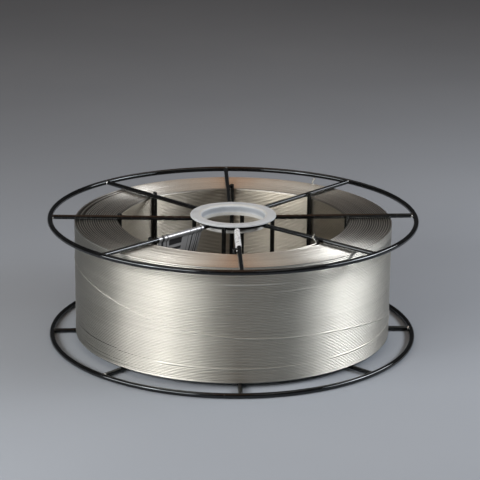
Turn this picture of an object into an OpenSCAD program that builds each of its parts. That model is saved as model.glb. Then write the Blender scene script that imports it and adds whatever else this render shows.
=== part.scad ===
// Coil of stainless welding wire on a welded wire basket spool.
// The spool lies on one flange, with its axis along +Z and the front spoke along -Y.
// All lengths are in millimetres, and z = 0 is the floor.

/* [Flange rings] */
// Outside diameter of the two flange rings
spool_d = 300; // [260:1:340]
// Width of the spool over both flanges
spool_w = 101.6; // [90:0.1:130]
// Thickness of the flange rings' wire
ring_wire_d = 4.2; // [3.4:0.1:6]

/* [Basket wires] */
// Thickness of the spokes, posts and hub rings
frame_wire_d = 3.6; // [2.6:0.1:4.4]
// Distance of the core posts' centres from the spool's axis
core_post_r = 92; // [80:0.5:105]
// Angle of the hub posts clockwise of every second spoke
hub_post_turn = 15; // [10:0.5:22]

/* [Hub bushes] */
// Bore of the plastic bushes
bore_d = 51.5; // [48:0.1:54]
// Wall of a bush's barrel
bush_wall = 1.2; // [0.8:0.1:2.4]
// Length of a bush along the axis
bush_h = 8.8; // [6:0.1:14]
// Diameter of a bush's flange
bush_flange_d = 69.4; // [64:0.2:80]
// Thickness of a bush's flange
bush_flange_t = 1.5; // [1:0.1:2.5]
// Depth of the chamfer at the bore's mouth
mouth_chamfer = 1.3; // [0.4:0.1:1.5]

/* [Wire pack] */
// Thickness of the wound wire
wire_d = 1.2; // [0.8:0.1:2]
// Outside diameter of the wound pack
pack_d = 256.8; // [230:0.2:262]
// How far the innermost turns bow outwards between two core posts
turn_bow = 4.8; // [2:0.1:6]

/* [Labels] */
// Clearance between the hub flange and the foil label's inner end
foil_inset = 3.3; // [1:0.1:15]
// Clearance between the foil label's outer end and the pack
foil_gap = 6.2; // [2:0.1:30]
// Depth to which the foil label hangs below its spoke
foil_drop = 24; // [8:1:40]
// Clearance between the hub flange and the paper label's inner end
paper_inset = 2; // [1:0.1:15]
// Clearance between the paper label's outer end and the pack
paper_gap = 10.2; // [2:0.1:30]
// Depth to which the paper label hangs below its spoke
paper_drop = 6; // [3:0.5:20]
// Thickness of both labels
label_t = 0.25; // [0.1:0.05:0.5]

/* [Hidden] */
// Number of spokes in a flange, with a core post beside each
spoke_count = 8;
// Number of posts round the hub
hub_post_count = 4;
// Clearance where one piece seats on another
seat_gap = 0.1;
// Chamfer on the cut ends of the posts
cut_chamfer = 0.4;
// Height of a core post's end above the spoke beside it
post_proud = 0.2;
// Rounding chamfer on a bush's edges
bush_edge = 0.3;
// Distance between layers of wire, as a share of the wire's thickness
nest_share = 0.87;
// Depth by which every second layer ends short, as a share of the wire's thickness
short_share = 0.4;
// Length by which cutters overrun what they cut
overrun = 1;
// Smoothness of round shapes
$fn = 96;

ring_r = spool_d / 2 - ring_wire_d / 2;
ring_z = ring_wire_d / 2;
bush_r = bore_d / 2 + bush_wall;
hub_ring_r = bush_r + seat_gap + frame_wire_d / 2;
// Height of a lower spoke's axis where the bush's flange seats on it
seat_z = bush_flange_t + seat_gap + frame_wire_d / 2;
hub_z = ring_z + (seat_z - ring_z) * (ring_r - hub_ring_r) / (ring_r - bush_flange_d / 2);
hub_post_r = hub_ring_r + frame_wire_d + seat_gap;
// Half the distance between a spoke's axis and the post beside it
side = frame_wire_d / 2 + seat_gap / 2;

// Height of a lower spoke's axis at a distance from the spool's axis
function spoke_z(r) = ring_z + (hub_z - ring_z) * (ring_r - r) / (ring_r - hub_ring_r);

post_end_z = max(spoke_z(core_post_r) - frame_wire_d / 2 - post_proud, 0);
// Distance from the axis at which the pack's turns touch the posts
touch_r = norm([core_post_r, side]) + frame_wire_d / 2 + seat_gap;
// Angle of a post clockwise of its spoke's radial line
post_turn = atan2(side, core_post_r);
step = 360 / spoke_count;
// The pack lies on the lower spokes where they stand highest, at its bore
pack_z = spoke_z(touch_r - turn_bow) + frame_wire_d / 2 + seat_gap;
pack_h = spool_w - 2 * pack_z;
// Arc of the innermost turns between two posts
half_chord = touch_r * sin(step / 2);
chord_r = touch_r * cos(step / 2);
arc_r = (half_chord * half_chord + turn_bow * turn_bow) / (2 * turn_bow);
arc_shift = arc_r - turn_bow - chord_r;
bore_mid_r = chord_r + turn_bow;
// Layers of wire outside the innermost one, each nested in the one below
outer_turn_r = pack_d / 2 - wire_d / 2;
layers = ceil((outer_turn_r - bore_mid_r) / (wire_d * nest_share));
layer_pitch = (outer_turn_r - bore_mid_r) / layers;
// The labels lie along the free stretch of their spokes, between the hub flange and the pack
foil_r = bush_flange_d / 2 + foil_inset;
foil_l = touch_r - foil_gap - foil_r;
paper_r = bush_flange_d / 2 + paper_inset;
paper_l = touch_r - paper_gap - paper_r;

// Direction of a spoke's radial line, the first at the front and the rest counter-clockwise
function spoke_angle(i) = -90 + step * (i - 1);

// Copies a lower flange piece to the upper flange
module upper() {
    translate([0, 0, spool_w]) mirror([0, 0, 1]) children();
}

// Round ring of wire about the spool's axis
module wire_ring(r, z, d) {
    translate([0, 0, z]) rotate_extrude() translate([r, 0]) circle(d = d);
}

// Straight upright wire with chamfered ends
module upright(z0, z1, d) {
    rotate_extrude() polygon([
        [0, z0],
        [d / 2 - cut_chamfer, z0],
        [d / 2, z0 + cut_chamfer],
        [d / 2, z1 - cut_chamfer],
        [d / 2 - cut_chamfer, z1],
        [0, z1]]);
}

// Places its children along a lower spoke's axis, which becomes +Z, from the hub outwards
module on_spoke(i, r) {
    fall = atan2(ring_z - hub_z, ring_r - hub_ring_r);
    rotate([0, 0, spoke_angle(i)])
        translate([r, side, spoke_z(r)])
            rotate([0, 90 - fall, 0])
                children();
}

// Lower spoke, coped to seat on the hub ring and on the flange ring
module spoke(i) {
    difference() {
        on_spoke(i, hub_ring_r) cylinder(d = frame_wire_d, h = ring_r - hub_ring_r);
        wire_ring(hub_ring_r, hub_z, frame_wire_d + 2 * seat_gap);
        wire_ring(ring_r, ring_z, ring_wire_d + 2 * seat_gap);
    }
}

module flange_ring() {
    color("#17171a") wire_ring(ring_r, ring_z, ring_wire_d);
}

module hub_ring() {
    color("#17171a") wire_ring(hub_ring_r, hub_z, frame_wire_d);
}

module bottom_spoke(i) {
    color("#17171a") spoke(i);
}

module top_spoke(i) {
    color("#17171a") upper() spoke(i);
}

module core_post(i) {
    color("#17171a")
        rotate([0, 0, spoke_angle(i)])
            translate([core_post_r, -side, 0])
                upright(post_end_z, spool_w - post_end_z, frame_wire_d);
}

module hub_post(i) {
    end_z = bush_flange_t + seat_gap;
    color("#17171a")
        rotate([0, 0, -90 + (i - 1) * 360 / hub_post_count - hub_post_turn])
            translate([hub_post_r, 0, 0])
                upright(end_z, spool_w - end_z, frame_wire_d);
}

// Flanged bush, with its flange on the floor plane and its barrel inside the hub ring
module bush() {
    flange_r = bush_flange_d / 2;
    bore_r = bore_d / 2;
    rotate_extrude() polygon([
        [bore_r + mouth_chamfer, 0],
        [flange_r - bush_edge, 0],
        [flange_r, bush_edge],
        [flange_r, bush_flange_t],
        [bush_r, bush_flange_t],
        [bush_r, bush_h - bush_edge],
        [bush_r - bush_edge, bush_h],
        [bore_r, bush_h],
        [bore_r, mouth_chamfer]]);
}

module bottom_bush() {
    color("#d9d9d6") bush();
}

module top_bush() {
    color("#d9d9d6") upper() bush();
}

// Outline of the pack's bore, one arc between each two posts
module bore_outline() {
    intersection_for (i = [1:spoke_count])
        rotate(spoke_angle(i) + step / 2 - post_turn)
            translate([-arc_shift, 0])
                circle(r = arc_r);
}

// Half section of the pack. Each layer is a column with a rounded turn on both ends, and the
// ends follow the spokes. Every second layer ends short, because it nests between its neighbours.
module pack_section() {
    for (k = [0:layers]) {
        r = bore_mid_r + k * layer_pitch;
        short = (layers - k) % 2 * short_share * wire_d;
        end_z = wire_d / 2 + short - spoke_z(bore_mid_r) + spoke_z(r);
        translate([r - wire_d / 2, end_z])
            square([wire_d, pack_h - 2 * end_z]);
        for (z = [end_z, pack_h - end_z])
            translate([r, z]) circle(d = wire_d);
    }
}

// Wound pack of wire, turned about the axis and open where the posts and their chords run
module wire_pack() {
    color("#b9b5a9")
        translate([0, 0, pack_z])
            difference() {
                rotate_extrude() pack_section();
                translate([0, 0, -overrun])
                    linear_extrude(height = pack_h + 2 * overrun) bore_outline();
            }
}

// Round head with a straight tail of the same width behind it
module drop_outline(r, tail) {
    circle(r = r);
    translate([-tail, -r]) square([tail, 2 * r]);
}

// Label folded over an upper spoke, with both halves hanging beside each other
module folded_label(l, drop) {
    inner_r = frame_wire_d / 2 + seat_gap;
    outer_r = inner_r + label_t;
    linear_extrude(height = l)
        difference() {
            drop_outline(outer_r, drop);
            drop_outline(inner_r, drop + overrun);
        }
}

module foil_label() {
    color("#c4c6c8")
        upper() on_spoke(8, foil_r) folded_label(foil_l, foil_drop);
}

module paper_label() {
    color("#e8e8e4")
        upper() on_spoke(1, paper_r) folded_label(paper_l, paper_drop);
}

wire_pack();
flange_ring();  // bottom_ring
upper() flange_ring();  // top_ring
hub_ring();  // bottom_hub_ring
upper() hub_ring();  // top_hub_ring
bottom_bush();
top_bush();
for (i = [1:spoke_count]) {
    bottom_spoke(i);
    top_spoke(i);
    core_post(i);
}
for (i = [1:hub_post_count]) {
    hub_post(i);
}
foil_label();
paper_label();
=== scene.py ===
# %% [markdown]
# # Steel wire on a basket spool
# This lesson dresses a model of a wire coil that was drawn as solids. The solids stay
# where they are and keep their size. Blender gives them a finish, and adds what is too
# fine for a solid: the single turns of wire, the welds and two folded labels.

# %% Load the model
import math

import bpy
import numpy as np
from mathutils import Matrix, Vector


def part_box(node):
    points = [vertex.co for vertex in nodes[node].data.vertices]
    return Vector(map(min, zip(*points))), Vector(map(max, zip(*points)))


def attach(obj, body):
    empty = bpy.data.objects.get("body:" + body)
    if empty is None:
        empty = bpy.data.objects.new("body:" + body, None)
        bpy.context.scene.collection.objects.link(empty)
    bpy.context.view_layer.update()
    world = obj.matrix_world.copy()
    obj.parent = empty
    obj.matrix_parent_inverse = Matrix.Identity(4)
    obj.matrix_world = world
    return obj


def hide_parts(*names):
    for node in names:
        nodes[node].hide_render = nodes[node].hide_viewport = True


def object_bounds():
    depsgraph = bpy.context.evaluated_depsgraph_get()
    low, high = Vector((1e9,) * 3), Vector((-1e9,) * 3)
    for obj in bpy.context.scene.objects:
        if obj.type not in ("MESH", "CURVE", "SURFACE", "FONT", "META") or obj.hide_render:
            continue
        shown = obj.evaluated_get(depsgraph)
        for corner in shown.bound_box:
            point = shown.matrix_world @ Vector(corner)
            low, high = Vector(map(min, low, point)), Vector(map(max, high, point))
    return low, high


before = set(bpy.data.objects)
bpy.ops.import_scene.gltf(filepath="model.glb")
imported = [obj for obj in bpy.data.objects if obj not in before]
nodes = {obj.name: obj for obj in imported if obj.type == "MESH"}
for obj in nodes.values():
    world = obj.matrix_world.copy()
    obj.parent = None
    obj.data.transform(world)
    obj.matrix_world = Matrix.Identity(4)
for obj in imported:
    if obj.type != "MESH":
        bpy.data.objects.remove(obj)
cad_low, cad_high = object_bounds()
MM = 0.001
print("model in mm:", [round(size / MM, 1) for size in cad_high - cad_low])

# %% [markdown]
# ## Camera
# A product shot of a spool is taken from a little above with a long lens, so that the
# two flange rings look like flat ellipses of nearly the same size. The camera is placed
# by an aim point, a turn, a height angle and a distance, because these are easier to
# read and to change than three rotation numbers.

# %% Place the camera
CAMERA_TURN = math.radians(-2.2)
CAMERA_HEIGHT = math.radians(17.1)
CAMERA_ROLL = math.radians(0.612)
CAMERA_DISTANCE = 1.5653
CAMERA_LENS = 144.3
aim = Vector((5.70 * MM, -0.19 * MM, 79.30 * MM))

turned = Matrix.Rotation(CAMERA_TURN, 3, "Z")
tilted = Matrix.Rotation(math.pi / 2 - CAMERA_HEIGHT, 3, "X")
rolled = Matrix.Rotation(CAMERA_ROLL, 3, "Z")
facing = turned @ tilted @ rolled
bpy.ops.object.camera_add(
    location=aim + facing @ Vector((0, 0, CAMERA_DISTANCE)),
    rotation=facing.to_euler())
camera = bpy.context.object
camera.name = "camera"
camera.data.sensor_width = 36
camera.data.lens = CAMERA_LENS
bpy.context.scene.camera = camera
bpy.context.scene.view_settings.view_transform = "Standard"
print("camera at", [round(place, 3) for place in camera.location])

# %% [markdown]
# ## Helpers for modelling
# An operator acts on everything that is selected, and the loaded solids come in
# selected. So each step first clears the selection. A piece is finished with its object
# at the origin and its place in its mesh, which is where the solids have theirs.


# %% Helpers for selecting, applying and handing over
def start_fresh():
    """Leaves edit mode and selects nothing."""
    if bpy.context.mode != "OBJECT":
        bpy.ops.object.mode_set(mode="OBJECT")
    bpy.ops.object.select_all(action="DESELECT")


def select_only(*pieces):
    """Selects these pieces, with the first one active."""
    start_fresh()
    for piece in pieces:
        piece.select_set(True)
    bpy.context.view_layer.objects.active = pieces[0]


def settle(name):
    """Names the object that was just added, and puts its place into its mesh."""
    piece = bpy.context.object
    piece.name = name
    piece.data.name = name
    bpy.ops.object.transform_apply(location=True, rotation=True, scale=True)
    return piece


def apply_modifier(piece, kind, **settings):
    """Adds a modifier, sets it and applies it at once."""
    select_only(piece)
    bpy.ops.object.modifier_add(type=kind)
    modifier = piece.modifiers[-1]
    for setting, value in settings.items():
        setattr(modifier, setting, value)
    bpy.ops.object.modifier_apply(modifier=modifier.name)


def join(name, pieces):
    """Joins pieces into the first of them."""
    select_only(*pieces)
    if len(pieces) > 1:
        bpy.ops.object.join()
    pieces[0].name = name
    return pieces[0]


def places_of(piece):
    """The places of a mesh's points, one row each."""
    flat = np.zeros(3 * len(piece.data.vertices), np.float32)
    piece.data.vertices.foreach_get("co", flat)
    return flat.reshape(-1, 3).astype(float)


def put_places(piece, places):
    """Writes changed places back to a mesh."""
    piece.data.vertices.foreach_set("co", places.astype(np.float32).ravel())
    piece.data.update()


def pick_points(piece, chosen):
    """Opens a mesh in edit mode with only the chosen points selected."""
    select_only(piece)
    bpy.ops.object.mode_set(mode="EDIT")
    bpy.ops.mesh.select_mode(type="VERT")
    bpy.ops.mesh.select_all(action="DESELECT")
    bpy.ops.object.mode_set(mode="OBJECT")
    piece.data.vertices.foreach_set("select", np.asarray(chosen, bool))
    bpy.ops.object.mode_set(mode="EDIT")


def tidy_surface(piece, smooth_angle=50):
    """Closes small holes, turns all faces outwards and shades round surfaces smooth."""
    select_only(piece)
    bpy.ops.object.mode_set(mode="EDIT")
    bpy.ops.mesh.select_all(action="SELECT")
    bpy.ops.mesh.fill_holes(sides=16)
    bpy.ops.mesh.normals_make_consistent(inside=False)
    bpy.ops.object.mode_set(mode="OBJECT")
    bpy.ops.object.shade_smooth_by_angle(angle=math.radians(smooth_angle))


def hand_over(piece, slot, material, *stood_for):
    """Gives a piece its finish and its body, and hides the nodes that it stands for."""
    piece.data.materials.clear()
    piece.data.materials.append(material)
    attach(piece, "root")
    if stood_for:
        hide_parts(*stood_for)
    start_fresh()
    print(piece.name, "has", len(piece.data.polygons), "faces")


# %% [markdown]
# ## Helpers for materials
# Every finish here is made from nodes. A pattern that more than one finish uses is a node
# group, built once. The groups read Object coordinates, so a pattern keeps its
# real size and stays on the piece when the camera moves.


# %% Helpers for node trees
def add_node(tree, kind, inputs=None, **settings):
    """Adds a node, sets its options, and sets or links its inputs by name or number."""
    node = tree.nodes.new(kind)
    for setting, value in settings.items():
        setattr(node, setting, value)
    for socket, value in (inputs or {}).items():
        if isinstance(value, bpy.types.NodeSocket):
            tree.links.new(value, node.inputs[socket])
        else:
            node.inputs[socket].default_value = value
    return node


def add_math(tree, operation, first, second=0.0, clamp=False):
    """One sum of two values."""
    node = add_node(tree, "ShaderNodeMath", {0: first, 1: second}, operation=operation)
    node.use_clamp = clamp
    return node.outputs[0]


def add_mix(tree, share, first, second):
    """A blend of two colours."""
    node = tree.nodes.new("ShaderNodeMix")
    node.data_type = "RGBA"
    for socket, value in ((0, share), (6, first), (7, second)):
        if isinstance(value, bpy.types.NodeSocket):
            tree.links.new(value, node.inputs[socket])
        else:
            node.inputs[socket].default_value = value
    return node.outputs[2]


def add_range(tree, value, low, high, to_low=0.0, to_high=1.0):
    """Maps a value from one range to another, held at both ends."""
    node = add_node(tree, "ShaderNodeMapRange", {
        "Value": value, "From Min": low, "From Max": high,
        "To Min": to_low, "To Max": to_high})
    return node.outputs["Result"]


def add_noise(tree, vector, scale, detail=2.0, roughness=0.5):
    """Soft random mottling with a mean of about one half."""
    return add_node(tree, "ShaderNodeTexNoise", {
        "Vector": vector, "Scale": scale, "Detail": detail, "Roughness": roughness}).outputs[0]


def object_place(tree):
    """The place of a point in its own object."""
    return tree.nodes.new("ShaderNodeTexCoord").outputs["Object"]


def add_axis_distance(tree, parts):
    """The distance from the spool's axis, from the three parts of a place."""
    x_square = add_math(tree, "MULTIPLY", parts[0], parts[0])
    y_square = add_math(tree, "MULTIPLY", parts[1], parts[1])
    return add_math(tree, "SQRT", add_math(tree, "ADD", x_square, y_square))


def new_group(name, inputs, outputs):
    """An empty shader node group with named value inputs and outputs."""
    tree = bpy.data.node_groups.new(name, "ShaderNodeTree")
    for label, value in inputs.items():
        socket = tree.interface.new_socket(label, in_out="INPUT", socket_type="NodeSocketFloat")
        socket.default_value = value
    for label in outputs:
        tree.interface.new_socket(label, in_out="OUTPUT", socket_type="NodeSocketFloat")
    given = tree.nodes.new("NodeGroupInput")
    wanted = tree.nodes.new("NodeGroupOutput")
    return tree, given.outputs, wanted.inputs


def place_group(tree, group, **values):
    """Places a group in a material with its own values, and returns its outputs."""
    node = tree.nodes.new("ShaderNodeGroup")
    node.node_tree = group
    for label, value in values.items():
        node.inputs[label.replace("_", " ").capitalize()].default_value = value
    return node.outputs


def new_material(name, **values):
    """A material with one Principled shader, whose even values are set on its sockets."""
    material = bpy.data.materials.new(name)
    material.use_nodes = True
    tree = material.node_tree
    shader = tree.nodes["Principled BSDF"]
    for label, value in values.items():
        shader.inputs[label.replace("_", " ").title()].default_value = value
    return material, tree, shader


def link_bump(tree, shader, height, strength, distance):
    """Feeds a height through a Bump node to the shader's normal."""
    bump = add_node(tree, "ShaderNodeBump", {
        "Height": height, "Strength": strength, "Distance": distance})
    tree.links.new(bump.outputs["Normal"], shader.inputs["Normal"])


# %% [markdown]
# ## Patterns that several finishes share
# The wire carries long faint streaks, because each turn comes from another stretch of
# the drawn wire. The noise reads the height and the distance from the axis finely, and
# the direction round the axis coarsely, so that its marks follow the winding. The
# direction goes in as a sine and a cosine, so that there is no seam behind the spool.
# Handling leaves specks of dust and small scuffs on everything, and that is the second group.

# %% Winding streaks
streaks, given, wanted = new_group(
    "winding streaks", {"Across": 900.0, "Along": 1.5}, ["Streak"])
place = object_place(streaks)
parts = add_node(streaks, "ShaderNodeSeparateXYZ", {0: place}).outputs
from_axis = add_axis_distance(streaks, parts)
across_turns = add_math(streaks, "MULTIPLY", parts[2], given["Across"])
across_layers = add_math(streaks, "MULTIPLY", from_axis, given["Across"])
cosine = add_math(streaks, "DIVIDE", parts[0], from_axis)
sine = add_math(streaks, "DIVIDE", parts[1], from_axis)
round_x = add_math(streaks, "MULTIPLY", cosine, given["Along"])
round_y = add_math(streaks, "MULTIPLY", sine, given["Along"])
spot = add_node(streaks, "ShaderNodeCombineXYZ", {0: round_x, 1: round_y, 2: across_turns}).outputs[0]
streak_noise = add_node(streaks, "ShaderNodeTexNoise", {
    "Vector": spot, "W": across_layers, "Scale": 1.0, "Detail": 1.5, "Roughness": 0.6},
    noise_dimensions="4D")
streaks.links.new(streak_noise.outputs[0], wanted["Streak"])

# %% Dust and scuffs
handling, given, wanted = new_group(
    "handling marks", {"Speck size": 900.0, "Scuff size": 120.0}, ["Specks", "Scuffs"])
place = object_place(handling)
speck_noise = add_noise(handling, place, given["Speck size"], 1.0)
handling.links.new(add_range(handling, speck_noise, 0.66, 0.74), wanted["Specks"])
scuff_noise = add_noise(handling, place, given["Scuff size"], 4.0, 0.65)
handling.links.new(add_range(handling, scuff_noise, 0.45, 0.75), wanted["Scuffs"])
print("shared patterns:", [group.name for group in bpy.data.node_groups])

# %% [markdown]
# ## Finish of the wire
# Stainless wire leaves the die bright but not like a mirror. It is a warm light grey
# metal with a satin gloss. Each turn is modelled, so the finish only needs small changes
# of colour and gloss along the winding, and very fine lines from the die. The turns on the
# ends are rubbed by the flanges and a little glossier, and their colour is painted much
# lighter, a painted highlight on their crests. Painted shade darkens the grooves between them.
# An attribute of the mesh says how much painted shade a point gets, from how deep it lies.
# A strand that lies across the others is duller, and its colour is painted lighter, a painted
# highlight. The bore's colour is darker and browner, painted shade and painted warm light
# from inside the bore. So one function makes four finishes.


# %% Steel wire
GROOVE_SHADE_COLOUR = (0.07, 0.063, 0.05, 1)
GROOVE_SHADE_SHARE = 0.9
DIE_LINE_DEPTH = 0.02 * MM


def steel_finish(name, dark, light, gloss_low, gloss_high, die_lines):
    """Drawn steel with streaks along the winding, and painted shade where the painted_shade attribute
    is high.
    """
    material, tree, shader = new_material(name, metallic=1.0)
    streak = place_group(tree, streaks, across=850.0, along=0.9)["Streak"]
    fine = place_group(tree, streaks, across=5200.0, along=4.0)["Streak"]
    tint = add_mix(tree, add_range(tree, streak, 0.3, 0.7), dark, light)
    painted_shade = add_node(tree, "ShaderNodeAttribute", attribute_name="painted_shade").outputs["Fac"]
    # Painted shade: the colour goes towards near black where the painted_shade attribute is high.
    tint = add_mix(tree, add_math(tree, "MULTIPLY", painted_shade, GROOVE_SHADE_SHARE), tint, GROOVE_SHADE_COLOUR)
    tree.links.new(tint, shader.inputs["Base Color"])
    gloss = add_range(tree, add_math(tree, "ADD", streak, fine), 0.6, 1.4, gloss_low, gloss_high)
    tree.links.new(gloss, shader.inputs["Roughness"])
    link_bump(tree, shader, fine, die_lines, DIE_LINE_DEPTH)
    print("made", material.name)
    return material


steel = steel_finish(
    "drawn_steel_wire", (0.51, 0.498, 0.45, 1), (0.58, 0.568, 0.518, 1), 0.31, 0.41, 0.12)
# The end turns: the steel colour painted much lighter, a painted highlight on their crests.
brightened_end_steel = steel_finish(
    "brightened_end_steel_wire", (0.82, 0.805, 0.75, 1), (0.90, 0.885, 0.825, 1), 0.28, 0.35, 0.05)
# The bore: painted shade and painted warm light from inside the bore, as a darker, browner colour.
shaded_bore_steel = steel_finish(
    "shaded_bore_steel_wire", (0.50, 0.465, 0.395, 1), (0.57, 0.532, 0.458, 1), 0.31, 0.41, 0.12)
# A crossing strand: the steel colour painted lighter, a painted highlight.
lightened_strand_steel = steel_finish(
    "lightened_strand_steel_wire", (0.56, 0.546, 0.495, 1), (0.64, 0.626, 0.572, 1), 0.40, 0.48, 0.12)

# %% [markdown]
# ## Finish of the basket
# The basket is welded from plain wire and then dipped or sprayed black. The coat is
# glossy, pulls thin over the welds and takes small scuffs. A near black colour with a
# low roughness gives the sharp white lines along the wires, and the noise breaks them up.

# %% Black coat
COAT_BLACK = (0.003, 0.003, 0.003, 1)
COAT_WORN = (0.011, 0.011, 0.011, 1)
COAT_DUST = (0.12, 0.12, 0.115, 1)
COOL_GLOSS = (0.86, 0.94, 1.0, 1)
COAT_WAVE = 0.06 * MM

black_coat, tree, shader = new_material("black_coat", coat_weight=0.15, coat_roughness=0.04)
shader.inputs["Specular Tint"].default_value = COOL_GLOSS
marks = place_group(tree, handling, speck_size=700.0, scuff_size=160.0)
worn = add_math(tree, "MULTIPLY", marks["Scuffs"], 0.35)
dusty = add_math(tree, "MULTIPLY", marks["Specks"], 0.2)
coat_colour = add_mix(tree, worn, COAT_BLACK, COAT_WORN)
coat_colour = add_mix(tree, dusty, coat_colour, COAT_DUST)
tree.links.new(coat_colour, shader.inputs["Base Color"])
tree.links.new(add_range(tree, marks["Scuffs"], 0, 1, 0.08, 0.18), shader.inputs["Roughness"])
place = object_place(tree)
link_bump(tree, shader, add_noise(tree, place, 420.0, 2.0), 0.06, COAT_WAVE)
print("made", black_coat.name)

# %% [markdown]
# ## Finish of the bushes
# The hub bushes are moulded from natural nylon, a milky white plastic that lets some
# light through. Subsurface scattering softens the light in it. Behind the barrel sits the
# black hub ring, and its shade is painted into the thin wall's colour as a cooler band.
# Away from the ring the barrel wall gets a warmer tint, painted light coming through it.

# %% Milky plastic
hub_ring_low, hub_ring_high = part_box("top_hub_ring")
bottom_hub_low, bottom_hub_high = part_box("bottom_hub_ring")
BARREL_EDGE = (28.5 * MM, 27.0 * MM)
RING_SHADE_EDGE = (2.6 * MM, 1.0 * MM)
PAINTED_LIGHT_EDGE = (2.4 * MM, 3.2 * MM)
MILK_CLEAN = (0.55, 0.575, 0.59, 1)
MILK_SCUFFED = (0.46, 0.48, 0.495, 1)
MILK_PAINTED_LIGHT = (0.54, 0.54, 0.515, 1)
MILK_SHADED = (0.26, 0.29, 0.33, 1)
MILK_DUST = (0.30, 0.29, 0.27, 1)
MOULD_GRAIN = 0.08 * MM

milky, tree, shader = new_material(
    "milky_nylon", roughness=0.42, subsurface_weight=0.35, subsurface_scale=2.0 * MM)
shader.inputs["Subsurface Radius"].default_value = (1.0, 1.0, 1.1)
place = object_place(tree)
parts = add_node(tree, "ShaderNodeSeparateXYZ", {0: place}).outputs
in_barrel = add_range(tree, add_axis_distance(tree, parts), *BARREL_EDGE)
middle = 0.5 * (hub_ring_low.z + hub_ring_high.z)
middle_below = 0.5 * (bottom_hub_low.z + bottom_hub_high.z)
from_top = add_math(tree, "ABSOLUTE", add_math(tree, "SUBTRACT", parts[2], middle))
from_bottom = add_math(tree, "ABSOLUTE", add_math(tree, "SUBTRACT", parts[2], middle_below))
from_ring = add_math(tree, "MINIMUM", from_top, from_bottom)
near_ring = add_range(tree, from_ring, *RING_SHADE_EDGE)
off_ring = add_range(tree, from_ring, *PAINTED_LIGHT_EDGE)
ring_shade = add_math(tree, "MULTIPLY", near_ring, in_barrel)
painted_light_wall = add_math(tree, "MULTIPLY", off_ring, in_barrel)
marks = place_group(tree, handling, speck_size=600.0, scuff_size=90.0)
milk = add_mix(tree, marks["Scuffs"], MILK_CLEAN, MILK_SCUFFED)
# Painted light: the barrel wall away from the hub ring gets a warmer tint, as if lit through.
milk = add_mix(tree, painted_light_wall, milk, MILK_PAINTED_LIGHT)
# Painted shade: the hub ring's shade behind the barrel wall, a cooler band.
milk = add_mix(tree, add_math(tree, "MULTIPLY", ring_shade, 0.7), milk, MILK_SHADED)
milk = add_mix(tree, add_math(tree, "MULTIPLY", marks["Specks"], 0.35), milk, MILK_DUST)
tree.links.new(milk, shader.inputs["Base Color"])
link_bump(tree, shader, add_noise(tree, place, 700.0, 3.0), 0.12, MOULD_GRAIN)
print("made", milky.name)

# %% [markdown]
# ## Finish of the solids that stay
# The rings, spokes, posts and bushes are right as solids. They keep their meshes, and
# only their material slots change.

# %% Dress the basket and the bushes
WIRE_FORMS = ("ring", "spoke", "post")
for name, solid in nodes.items():
    finish = milky if name.endswith("bush") else black_coat
    if name.endswith("bush") or any(form in name for form in WIRE_FORMS):
        if not solid.material_slots:
            solid.data.materials.append(finish)
        for slot in solid.material_slots:
            slot.material = finish
print("dressed", sum(any(f in n for f in WIRE_FORMS) for n in nodes), "wires of the basket")

# %% [markdown]
# ## Sizes of the winding
# The pack's box and one core post give all the sizes of the winding. The stiff wire
# touches the posts and bows outwards between them, so the bore is a chain of eight
# arcs. Towards the outside the turns get round. One formula gives the bore's shape, and
# the share of it that a turn takes falls evenly to nothing at the outside. The spokes lean
# a little, and both ends of the pack lie along them.

# %% Measure the pack
pack_low, pack_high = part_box("wire_pack")
post_low, post_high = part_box("core_post_3")
spoke_low, spoke_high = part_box("top_spoke_3")
WIRE_D = 1.2 * MM
SEAT_GAP = 0.1 * MM
TURN_BOW = 4.8 * MM
POSTS = 8

wire_r = WIRE_D / 2
pack_r = pack_high.x
spoke_d = spoke_high.y - spoke_low.y
end_slope = (spoke_high.z - spoke_low.z - spoke_d) / (spoke_high.x - spoke_low.x)
post_wire_d = post_high.x - post_low.x
post_r = 0.5 * (post_low.x + post_high.x)
post_side = -0.5 * (post_low.y + post_high.y)
touch_r = math.hypot(post_r, post_side) + post_wire_d / 2 + SEAT_GAP
half_step = math.pi / POSTS
post_turn = math.atan2(post_side, post_r)
half_chord = touch_r * math.sin(half_step)
arc_r = (half_chord ** 2 + TURN_BOW ** 2) / (2 * TURN_BOW)
arc_shift = arc_r - TURN_BOW - touch_r * math.cos(half_step)
bore_mid_r = arc_r - arc_shift
end_rise = end_slope * (pack_r - wire_r - bore_mid_r)


def bore_radius(angle):
    """Distance from the axis to the innermost wire, in a direction round the axis."""
    off_middle = (angle + post_turn) % (2 * half_step) - half_step
    across = arc_shift * np.sin(off_middle)
    return np.sqrt(arc_r ** 2 - across ** 2) - arc_shift * np.cos(off_middle)


def press_to_posts(piece):
    """Lets round turns follow the posts, the innermost fully and the outermost not at all."""
    places = places_of(piece)
    r = np.hypot(places[:, 0], places[:, 1])
    angle = np.arctan2(places[:, 1], places[:, 0])
    share = np.clip((pack_r - r) / (pack_r - bore_mid_r), 0, 1.05)
    grown = 1 + (bore_radius(angle) - bore_mid_r) * share / r
    places[:, :2] *= grown[:, None]
    put_places(piece, places)


print("bore in mm, at a post and between posts:", round(touch_r / MM, 2), round(bore_mid_r / MM, 2))

# %% [markdown]
# ## One section of wire
# A turn is seen from one side only, so its section is half a circle with a flat back. It
# starts as a circle, loses the points on the hidden side, and is closed by one edge.

# %% Half section of the wire
SECTION_POINTS = 12
HALF_POINTS = SECTION_POINTS // 2 + 1
FULLNESS = 1.04


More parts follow.
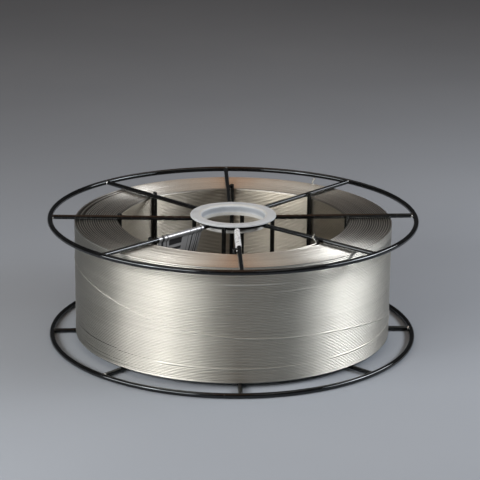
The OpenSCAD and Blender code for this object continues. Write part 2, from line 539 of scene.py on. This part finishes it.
def wire_section(name, r, z, outwards):
    """A half section of wire in the XZ plane that bulges the way outwards points."""
    start_fresh()
    bpy.ops.mesh.primitive_circle_add(
        vertices=SECTION_POINTS, radius=wire_r * FULLNESS,
        location=(r, 0, z), rotation=(math.pi / 2, 0, 0))
    section = settle(name)
    bulge = (places_of(section) - np.array((r, 0, z))) @ np.array(outwards)
    pick_points(section, bulge < -0.01 * wire_r)
    bpy.ops.mesh.delete(type="VERT")
    bpy.ops.object.mode_set(mode="OBJECT")
    bulge = (places_of(section) - np.array((r, 0, z))) @ np.array(outwards)
    pick_points(section, np.abs(bulge) < 0.01 * wire_r)
    bpy.ops.mesh.edge_face_add()
    start_fresh()
    return section


# %% [markdown]
# ## The outer turns
# Level wound wire is a helix that climbs by one wire at each turn. The Screw modifier
# makes it from the section in one go. The first and the last turn lie flat against the
# flange, so two turns are added and brought down to its level. No winding is perfect:
# the wire wavers a little, and near the floor on the left some turns stand apart. The
# waver is a sum of sines along the wire's own length, so neighbouring turns differ and
# the wire stays in one piece.

# %% Wind the outside
OUTER_STEPS = 160
WAVER_RATES = (1.37, 2.63, 4.19, 7.41)
WAVER_PHASE = 2.4
WAVER_UP = 0.022 * MM
WAVER_OUT = 0.015 * MM
OUT_LAG = 0.31
WINDING_PITCH = 1.26 * MM
pack_h = pack_high.z - pack_low.z
outer_turns_count = round((pack_h - WIRE_D) / WINDING_PITCH)
outer_pitch = (pack_h - WIRE_D) / outer_turns_count
first_z = pack_low.z + wire_r


def wind(section, turns, pitch, steps):
    """Sweeps a section round the axis, climbing by the pitch at each turn."""
    apply_modifier(section, "SCREW", axis="Z", angle=2 * math.pi, screw_offset=pitch,
                   iterations=turns, steps=steps, render_steps=steps,
                   use_merge_vertices=pitch == 0, merge_threshold=wire_r * 0.001)


def wind_level(section, turns, pitch, steps):
    """Winds a helix with a flat turn at each end, and gives its places and their turns."""
    wind(section, turns + 2, pitch, steps)
    places = places_of(section)
    wire_turn = np.repeat(np.arange(len(places) // HALF_POINTS) / steps, HALF_POINTS)
    places[:, 2] += pitch * (np.clip(wire_turn - 1, 0, turns) - wire_turn)
    return places, wire_turn


def waver(wire_turn, size):
    """A small smooth shift along the wire, whose length is counted in turns."""
    total = np.zeros_like(wire_turn)
    for order, rate in enumerate(WAVER_RATES):
        total += np.sin(2 * math.pi * rate * wire_turn + WAVER_PHASE * order) / (1 + 0.5 * order)
    return size * total / 2


outer = wire_section("outer_turns", pack_r - wire_r, first_z, (1, 0, 0))
places, wire_turn = wind_level(outer, outer_turns_count, outer_pitch, OUTER_STEPS)
angle = np.arctan2(places[:, 1], places[:, 0])
places[:, 2] += waver(wire_turn, WAVER_UP)
places[:, :2] *= (1 + waver(wire_turn + OUT_LAG, WAVER_OUT) / pack_r)[:, None]

# %% Open some gaps between the lower left turns
GAP_TURNS = (2.4, 4.6, 11.1)
GAP_WIDTH = 0.42 * MM
GAP_FADE = 1.2
GAP_MIDDLE = math.radians(-152)
GAP_REACH = math.radians(26)
off_gap = (angle - GAP_MIDDLE + math.pi) % (2 * math.pi) - math.pi
strength = np.exp(-(off_gap / GAP_REACH) ** 2)
level = wire_turn - 1 + (first_z - pack_low.z) / outer_pitch
for turn in GAP_TURNS:
    apart = np.where(level > turn, 1, -1) * np.exp(-np.abs(level - turn) / GAP_FADE)
    places[:, 2] += 0.5 * GAP_WIDTH * strength * apart
put_places(outer, places)
tidy_surface(outer)
hand_over(outer, "wire", steel, "wire_pack")

# %% [markdown]
# ## The bore turns
# The inner turns are wound the same way, with the section facing the axis, and then
# pressed to the posts. They show through the spokes at the far side of the core. A little
# painted shade darkens them all over, and their browner colour is painted warm light from
# inside the bore.

# %% Wind the bore
BORE_STEPS = 128
SHORT = 0.3 * MM
BORE_SHADE = 0.12
BORE_WAVER = 0.006 * MM
bore_h = pack_h - WIRE_D - 2 * (end_rise + SHORT)
bore_turns_count = round(bore_h / WINDING_PITCH)
bore = wire_section("bore_turns", bore_mid_r + wire_r, first_z + end_rise + SHORT, (-1, 0, 0))
places, wire_turn = wind_level(bore, bore_turns_count, bore_h / bore_turns_count, BORE_STEPS)
places[:, 2] += waver(wire_turn, BORE_WAVER)
put_places(bore, places)
# Painted shade: the same small share on every point of the bore.
painted_shade = bore.data.attributes.new("painted_shade", "FLOAT", "POINT")
painted_shade.data.foreach_set("value", np.full(len(places), BORE_SHADE, np.float32))
press_to_posts(bore)
tidy_surface(bore)
hand_over(bore, "wire", shaded_bore_steel, "wire_pack")

# %% [markdown]
# ## The turns on both ends
# On the ends one turn of every layer shows. A layer nests in the grooves of the one
# below it, so every second layer ends short. Two sections side by side, one of
# them lower, are repeated outwards with the Array modifier, turned round the axis, and
# pressed to the posts. A seeded draw sinks each layer a little, and on the left of the
# upper end a few turns near the rim have slipped deeper. The lift brings the turns up to
# the spokes that press on them.

# %% Wind the ends
END_STEPS = 160
LAYER_PAIRS = 19
LIFT = 0.08 * MM
SINK = 0.06 * MM
layer_pitch = (pack_r - WIRE_D - bore_mid_r) / (2 * LAYER_PAIRS - 1)
draw = np.random.default_rng(7)


def end_turns(name, face_z, up):
    """The last turns of all layers on one end of the pack."""
    z = face_z + up * (LIFT - wire_r)
    low = wire_section(name, bore_mid_r + wire_r, z - up * SHORT, (0, 0, up))
    high = wire_section(name + "_high", bore_mid_r + wire_r + layer_pitch, z, (0, 0, up))
    pair = join(name, [low, high])
    apply_modifier(pair, "ARRAY", count=LAYER_PAIRS, use_relative_offset=False,
                   use_constant_offset=True, constant_offset_displace=(2 * layer_pitch, 0, 0))
    places = places_of(pair)
    layers = len(places) // HALF_POINTS
    sunk = np.abs(draw.normal(0, SINK, layers))
    places[:, 2] -= up * np.repeat(sunk, HALF_POINTS)
    places[:, 2] -= up * end_slope * (pack_r - wire_r - places[:, 0])
    put_places(pair, places)
    wind(pair, 1, 0.0, END_STEPS)
    return pair


top = end_turns("top_turns", pack_high.z, 1)
bottom = end_turns("bottom_turns", pack_low.z, -1)

# %% Let a few turns slip
SLIP_MIDDLE = math.radians(160)
SLIP_REACH = math.radians(22)
SLIP_DEPTH = 0.7 * MM
SLIP_BANDS = ((1.88, 3.16), (5.73, 7.01))
places = places_of(top)
from_rim = (pack_r - np.hypot(places[:, 0], places[:, 1])) / MM
angle = np.arctan2(places[:, 1], places[:, 0])
off_slip = (angle - SLIP_MIDDLE + math.pi) % (2 * math.pi) - math.pi
for near, far in SLIP_BANDS:
    slipped = np.exp(-(off_slip / SLIP_REACH) ** 4) * ((from_rim > near) & (from_rim < far))
    places[:, 2] -= SLIP_DEPTH * slipped
    print("slipped points:", int((slipped > 0.5).sum()))
put_places(top, places)


# %% Note painted shade by the depth of the grooves
INNER_SHADE = 0.7
INNER_REACH = 2.4 * wire_r
UNSHADED_DEPTH = 0.10 * MM
SHADE_DEPTH = 0.20 * MM


def note_grooves(piece, face_z, up):
    """Writes a share of painted shade for each point, from nothing to one, growing with how deep it
    lies under the end's plane.
    """
    places = places_of(piece)
    r = np.hypot(places[:, 0], places[:, 1])
    depth = up * (face_z - places[:, 2]) - end_slope * (pack_r - wire_r - r)
    groove_shade = np.clip((depth - UNSHADED_DEPTH) / SHADE_DEPTH, 0, 1)
    # Painted shade along the bore's rim: the innermost turns get a fixed share.
    groove_shade = np.where(r < bore_mid_r + INNER_REACH, INNER_SHADE, groove_shade)
    painted_shade = piece.data.attributes.new("painted_shade", "FLOAT", "POINT")
    painted_shade.data.foreach_set("value", groove_shade.astype(np.float32))


for piece, face_z, up in ((top, pack_high.z, 1), (bottom, pack_low.z, -1)):
    note_grooves(piece, face_z, up)
    press_to_posts(piece)
    tidy_surface(piece)
    hand_over(piece, "wire", brightened_end_steel, "wire_pack")

# %% [markdown]
# ## Strands that cross the winding
# Where a layer ends, the wire runs back over the turns to the other flange. A few such strands
# lie on the outside. The wire's two loose ends show as well: one stands up beside a core
# post, and a short one at the far edge. Each is a curve with a round bevel, made a mesh at
# the end. The angles along a strand are in degrees from the front, and heights are in mm.


# %% Helper for bent wires
def bent_wire(name, places, thickness):
    """A round wire along a smooth line that is drawn to these places."""
    start_fresh()
    bpy.ops.curve.primitive_nurbs_path_add()
    wire = settle(name)
    line = wire.data
    line.splines.clear()
    spline = line.splines.new("NURBS")
    spline.points.add(len(places) - 1)
    for point, place in zip(spline.points, places):
        point.co = (*place, 1)
    spline.order_u = 4
    spline.use_endpoint_u = True
    spline.resolution_u = 4
    line.bevel_depth = thickness / 2
    line.bevel_resolution = 3
    line.use_fill_caps = True
    select_only(wire)
    bpy.ops.object.convert(target="MESH")
    bpy.ops.object.shade_smooth_by_angle(angle=math.radians(50))
    return wire


def on_outside(degrees, z, proud):
    """A place on the pack's outside, at an angle from the front."""
    angle = np.radians(degrees - 90)
    r = pack_r - wire_r + proud
    return np.column_stack((r * np.cos(angle), r * np.sin(angle), z))


# %% Strands across the outer turns
TUCK_REACH = 12
TUCK_DEPTH = 0.75
CROSSING_Z = 43.9
CROSSING_FALL = 0.245
SWAY = 3.5
SWAY_LEAD = 10
SWAY_HALF_WAVE = 58


def strand(name, run, z, proud):
    """A wire over the outer turns that dips between them at both of its ends."""
    tucked = np.clip(np.minimum(run - run[0], run[-1] - run) / TUCK_REACH, 0, 1)
    outwards = ((proud + TUCK_DEPTH) * tucked - TUCK_DEPTH) * wire_r
    wire = bent_wire(name, on_outside(run, z * MM, outwards), WIRE_D)
    hand_over(wire, "wire", lightened_strand_steel, "wire_pack")


run = np.linspace(-125, 105, 93)
swayed = SWAY * np.cos(math.pi * (run + SWAY_LEAD) / SWAY_HALF_WAVE)
strand("crossing_strand", run, CROSSING_Z - CROSSING_FALL * run - swayed, 0.65)
run = np.linspace(-38, 96, 61)
strand("low_strand", run, 15.9 + 0.0006 * (run - 8) ** 2, 0.6)
run = np.linspace(-14, 24, 25)
strand("high_strand", run, 83.3 - 0.02 * run, 0.2)
run = np.linspace(6, 36, 21)
strand("short_strand", run, 76.2 + 0.03 * run, 0.2)

# %% The loose ends
# Distance from the axis in mm, direction in degrees and height in mm
core_end = np.array([
    (93.8, -66.0, 96.5), (93.7, -62.0, 96.7), (93.6, -58.0, 96.9),
    (93.5, -54.0, 97.3), (93.5, -50.5, 97.5), (93.2, -48.2, 97.5),
    (92.2, -47.2, 97.9), (91.0, -47.3, 99.2), (90.2, -48.2, 100.6),
    (90.0, -48.5, 102.0), (90.0, -48.0, 103.2), (90.0, -47.2, 104.2)])
r, degrees, z = core_end.T
angle = np.radians(degrees)
core_line = np.column_stack((r * np.cos(angle), r * np.sin(angle), z)) * MM
tail = bent_wire("core_end", core_line, WIRE_D)
hand_over(tail, "wire", steel, "wire_pack")

# Places in mm
far_edge = np.array([
    (76.0, 103.0, 96.3), (73.0, 104.8, 96.4), (71.4, 105.6, 97.4),
    (72.0, 105.4, 100.4), (74.0, 104.6, 103.0)])
tail = bent_wire("outer_end", far_edge * MM, WIRE_D)
hand_over(tail, "wire", steel, "wire_pack")

# %% [markdown]
# ## Welds
# Every joint of the basket is a resistance weld, which squeezes out a small collar of
# metal. Each nugget starts as a ball, is stretched along its joint and roughened with a
# seeded push on its points. All nuggets become one piece. The coat is thin on their sharp
# tips, so their finish is the black coat with flecks of bright metal.

# %% Coat of the welds
WELD_BLACK = (0.004, 0.004, 0.004, 1)
WELD_BRIGHT = (0.8, 0.8, 0.79, 1)

weld_coat, tree, shader = new_material("weld_coat", roughness=0.2)
marks = place_group(tree, handling, speck_size=650.0, scuff_size=300.0)
flecks = add_range(tree, marks["Scuffs"], 0.25, 0.38)
tree.links.new(add_mix(tree, flecks, WELD_BLACK, WELD_BRIGHT), shader.inputs["Base Color"])
tree.links.new(add_math(tree, "MULTIPLY", flecks, 0.6), shader.inputs["Metallic"])
print("made", weld_coat.name)

# %% Places along the upper spokes
spoke_side = 0.5 * (spoke_low.y + spoke_high.y)
spoke_in_z = spoke_low.z + spoke_d / 2
spoke_out_z = spoke_high.z - spoke_d / 2
spool_top = cad_high.z
print("spokes fall towards the hub by mm:", round((spoke_out_z - spoke_in_z) / MM, 2))


def spoke_place(number, r, sideways, up):
    """A place near an upper spoke, by its distance from the axis and its offset from the spoke."""
    angle = -math.pi / 2 + (number - 1) * 2 * half_step
    share = (r - spoke_low.x) / (spoke_high.x - spoke_low.x)
    z = spoke_in_z + share * (spoke_out_z - spoke_in_z) + up
    across = spoke_side + sideways
    x = r * np.cos(angle) - across * np.sin(angle)
    y = r * np.sin(angle) + across * np.cos(angle)
    return np.stack(np.broadcast_arrays(x, y, z), axis=-1)


# %% Weld nuggets
BEAD_PUSH = 0.16 * MM
RING_BEAD = (1.9, 2.15, 1.95)
HUB_BEAD = (1.5, 2.05, 1.95)
POST_BEAD = (1.5, 1.3, 1.5)
ring_weld_r = spoke_high.x - 0.6 * MM
hub_weld_r = spoke_low.x + 0.5 * MM


def nugget(place, turn, size):
    """One rough weld bead, with its length along the direction of the turn."""
    start_fresh()
    bpy.ops.mesh.primitive_ico_sphere_add(
        subdivisions=3, radius=1.0, location=place, rotation=(0, 0, turn), scale=size)
    bead = settle("bead")
    bpy.ops.object.mode_set(mode="EDIT")
    bpy.ops.mesh.select_all(action="SELECT")
    bpy.ops.transform.vertex_random(
        offset=BEAD_PUSH, uniform=0.3, normal=0.7, seed=int(draw.integers(1, 10000)))
    bpy.ops.mesh.vertices_smooth(factor=0.4, repeat=1)
    bpy.ops.object.mode_set(mode="OBJECT")
    return bead


beads = []
for number in range(1, POSTS + 1):
    turn = -math.pi / 2 + (number - 1) * 2 * half_step
    for r, size in ((ring_weld_r, RING_BEAD), (hub_weld_r, HUB_BEAD), (post_r, POST_BEAD)):
        sideways = -spoke_side if r == post_r else 0.0
        place = spoke_place(number, r, sideways, 0.0)
        below = place * (1, 1, -1) + (0, 0, spool_top)
        for spot in (place, below):
            beads.append(nugget(spot, turn, np.array(size) * MM))
welds = join("welds", beads)
select_only(welds)
bpy.ops.object.shade_smooth()
hand_over(welds, "basket", weld_coat)

# %% [markdown]
# ## Labels
# Two labels are folded over the upper spokes. The foil one hangs far down and its halves
# stick to each other below the wire. The paper one is short, and its legs stand apart. Each
# starts as a flat grid at its cut size, and the fold only moves its points: the distance
# across the sheet becomes an arc over the wire and then a straight fall.

# %% Fold a sheet over a spoke
LABEL_T = 0.12 * MM
FOLD_R = spoke_d / 2 + 0.18 * MM
SHEET_ALONG = 72
SHEET_ACROSS = 96
bush_low, bush_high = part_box("top_bush")


def folded_sheet(name, length, drop, wrap, meet, slant):
    """A grid folded over a spoke, which leaves it at the wrap angle. Its legs meet below."""
    girth = 2 * drop + math.pi * FOLD_R
    start_fresh()
    bpy.ops.mesh.primitive_grid_add(x_subdivisions=SHEET_ALONG, y_subdivisions=SHEET_ACROSS, size=1)
    sheet = settle(name)
    flat = places_of(sheet)
    across = flat[:, 1] * girth
    side_of = np.sign(across)
    reach = np.abs(across)
    turn = np.minimum(reach / FOLD_R, wrap)
    fall = np.maximum(reach - wrap * FOLD_R, 0)
    slanted = np.minimum(fall, meet)
    sideways = FOLD_R * np.sin(turn) + slanted * math.cos(wrap)
    up = FOLD_R * np.cos(turn) - slanted * math.sin(wrap) - (fall - slanted)
    cut = slant * fall
    along = cut + (flat[:, 0] + 0.5) * (length - cut)
    area = length * girth - slant * fall.max() ** 2
    return sheet, along, side_of * sideways, up, fall / drop, girth, area


def finish_sheet(sheet, number, r, sideways, up):
    """Puts a folded sheet on its spoke and gives it its thickness."""
    put_places(sheet, spoke_place(number, r, sideways, up))
    apply_modifier(sheet, "SOLIDIFY", thickness=LABEL_T, offset=0.0, use_even_offset=True)
    select_only(sheet)
    bpy.ops.object.shade_smooth_by_angle(angle=math.radians(40))


# %% [markdown]
# ## Finish of the labels
# The foil is bright metal with soft crinkles and a few plain dark bars. The bars come from
# the sheet's UV map, which the grid brings along and which keeps its place through the
# fold. The paper is white with a little dirt.

# %% Foil
FOIL_BARE = (0.43, 0.438, 0.448, 1)
FOIL_BAR = (0.006, 0.006, 0.007, 1)
CRINKLE_DEPTH = 0.2 * MM
# Where each bar starts and ends, along the label and across it
BARS = (
    (0.05, 0.07, 0.47, 0.96), (0.10, 0.12, 0.56, 0.96), (0.15, 0.16, 0.47, 0.96),
    (0.20, 0.23, 0.58, 0.96), (0.30, 0.31, 0.52, 0.96), (0.45, 0.75, 0.60, 0.70),
    (0.45, 0.68, 0.74, 0.78), (0.80, 0.82, 0.47, 0.80), (0.88, 0.93, 0.46, 0.80))

foil_finish, tree, shader = new_material("label_foil")
shader.inputs["Specular IOR Level"].default_value = 0.2
on_sheet = tree.nodes.new("ShaderNodeUVMap").outputs[0]
spot = add_node(tree, "ShaderNodeSeparateXYZ", {0: on_sheet}).outputs


def add_band(tree, value, low, high, soft=0.006):
    """One between two values of a coordinate, and nothing outside."""
    rising = add_range(tree, value, low - soft, low + soft)
    falling = add_range(tree, value, high - soft, high + soft, 1.0, 0.0)
    return add_math(tree, "MULTIPLY", rising, falling)


bars = 0.0
for u_low, u_high, v_low, v_high in BARS:
    along_bar = add_band(tree, spot[0], u_low, u_high)
    across_bar = add_band(tree, spot[1], v_low, v_high)
    bars = add_math(tree, "MAXIMUM", add_math(tree, "MULTIPLY", along_bar, across_bar), bars)
bar_mask = add_math(tree, "MULTIPLY", bars, 0.97)
foil_colour = add_mix(tree, bar_mask, FOIL_BARE, FOIL_BAR)
tree.links.new(foil_colour, shader.inputs["Base Color"])
tree.links.new(add_range(tree, bar_mask, 0.0, 0.9, 0.65, 0.0), shader.inputs["Metallic"])
place = object_place(tree)
crinkle = add_noise(tree, place, 260.0, 3.0, 0.55)
tree.links.new(add_range(tree, crinkle, 0.3, 0.7, 0.28, 0.42), shader.inputs["Roughness"])
link_bump(tree, shader, crinkle, 0.18, CRINKLE_DEPTH)
print("made", foil_finish.name)

# %% Paper
PAPER_CLEAN = (0.72, 0.74, 0.75, 1)
PAPER_SCUFFED = (0.58, 0.59, 0.59, 1)
PAPER_SMUDGE = (0.05, 0.05, 0.05, 1)

paper_finish, tree, shader = new_material("label_paper", roughness=0.6)
marks = place_group(tree, handling, speck_size=1100.0, scuff_size=200.0)
scuffed = add_math(tree, "MULTIPLY", marks["Scuffs"], 0.5)
paper_colour = add_mix(tree, scuffed, PAPER_CLEAN, PAPER_SCUFFED)
place = object_place(tree)
smudges = add_range(tree, add_noise(tree, place, 520.0, 1.0), 0.60, 0.66)
paper_colour = add_mix(tree, add_math(tree, "MULTIPLY", smudges, 0.85), paper_colour, PAPER_SMUDGE)
tree.links.new(paper_colour, shader.inputs["Base Color"])
print("made", paper_finish.name)

# %% Foil label on the front left spoke
FOIL_INSET = 3.3 * MM
FOIL_GAP = 6.2 * MM
FOIL_DROP = 24.0 * MM
FOIL_WRAP = math.radians(125)
FOIL_MEET = 2.45 * MM
FOIL_SLANT = 0.42
CURL = 0.5 * MM
foil_length = touch_r - FOIL_GAP - bush_high.x - FOIL_INSET
foil, along, sideways, up, down, girth, area = folded_sheet(
    "foil_label_sheet", foil_length, FOIL_DROP, FOIL_WRAP, FOIL_MEET, FOIL_SLANT)
curl = CURL * down ** 1.5 * np.sin(2 * math.pi * (1.6 * along / foil_length + 0.25 * down))
finish_sheet(foil, 8, bush_high.x + FOIL_INSET + along, sideways + curl, up)
hand_over(foil, "foil", foil_finish, "foil_label")

# %% Paper label on the front spoke
PAPER_INSET = 2.0 * MM
PAPER_GAP = 10.2 * MM
PAPER_DROP = 6.0 * MM
PAPER_WRAP = math.radians(90)
paper_length = touch_r - PAPER_GAP - bush_high.x - PAPER_INSET
paper, along, sideways, up, _, girth, _ = folded_sheet(
    "paper_label_sheet", paper_length, PAPER_DROP, PAPER_WRAP, PAPER_DROP, 0.0)
finish_sheet(paper, 1, bush_high.x + PAPER_INSET + along, sideways, up)
hand_over(paper, "paper", paper_finish, "paper_label")

# %% [markdown]
# ## Floor and light
# The spool lies on a plain pale floor. A large softbox stands on each side with a brighter
# strip before it, and the middle stays darker, which is what gives round metal its light
# and dark bands. Three weak panels above, the middle one warm, and the dim room fill the rest.

# %% Floor
FLOOR_R = 7.0
FLOOR_DARK = (0.275, 0.302, 0.338, 1)
FLOOR_LIGHT = (0.30, 0.327, 0.363, 1)
start_fresh()
bpy.ops.mesh.primitive_circle_add(vertices=96, radius=FLOOR_R, fill_type="NGON")
floor = settle("floor")
pale, tree, shader = new_material("pale_floor", roughness=0.85)
place = object_place(tree)
cloudy = add_range(tree, add_noise(tree, place, 2.5, 3.0), 0.3, 0.7)
tree.links.new(add_mix(tree, cloudy, FLOOR_DARK, FLOOR_LIGHT), shader.inputs["Base Color"])
floor.data.materials.append(pale)
print("made", pale.name)

# %% Lights
LEFT_WHITE = (1.0, 0.99, 0.98)
RIGHT_WHITE = (0.95, 0.965, 1.0)
TOP_WHITE = (1.0, 0.95, 0.87)
TOP_WARM = (1.0, 0.50, 0.24)
ROOM_GLOW = (0.036, 0.037, 0.039, 1)


def softbox(name, turn, height, distance, size, power, colour):
    """A rectangular lamp that faces the spool. Its turn is counted from the camera's side."""
    turn = math.radians(turn) + CAMERA_TURN
    height = math.radians(height)
    level = math.cos(height)
    towards = Vector((math.sin(turn) * level, -math.cos(turn) * level, math.sin(height)))
    start_fresh()
    bpy.ops.object.light_add(
        type="AREA", location=aim + distance * towards,
        rotation=towards.to_track_quat("Z", "Y").to_euler())
    lamp = bpy.context.object
    lamp.name = name
    lamp.data.shape = "RECTANGLE"
    lamp.data.size, lamp.data.size_y = size
    lamp.data.energy = power
    lamp.data.color = colour
    print("placed", lamp.name)


softbox("left_softbox", -51, 21, 1.0, (1.08, 0.30), 9.3, LEFT_WHITE)
softbox("left_strip", -49, 21, 0.98, (0.14, 0.30), 1.7, LEFT_WHITE)
softbox("right_softbox", 88, 27, 1.0, (0.98, 0.24), 6.7, RIGHT_WHITE)
softbox("right_strip", 86, 27, 0.98, (0.26, 0.24), 2.16, RIGHT_WHITE)
softbox("warm_top", 180, 84, 1.5, (0.5, 3.0), 2.4, TOP_WARM)
softbox("left_top", -90, 70, 1.5, (3.0, 0.45), 2.9, TOP_WHITE)
softbox("right_top", 90, 70, 1.5, (3.0, 0.45), 2.9, TOP_WHITE)

world = bpy.data.worlds.new("dim_room")
world.use_nodes = True
room = world.node_tree.nodes["Background"]
room.inputs["Color"].default_value = ROOM_GLOW
room.inputs["Strength"].default_value = 1.0
bpy.context.scene.world = world
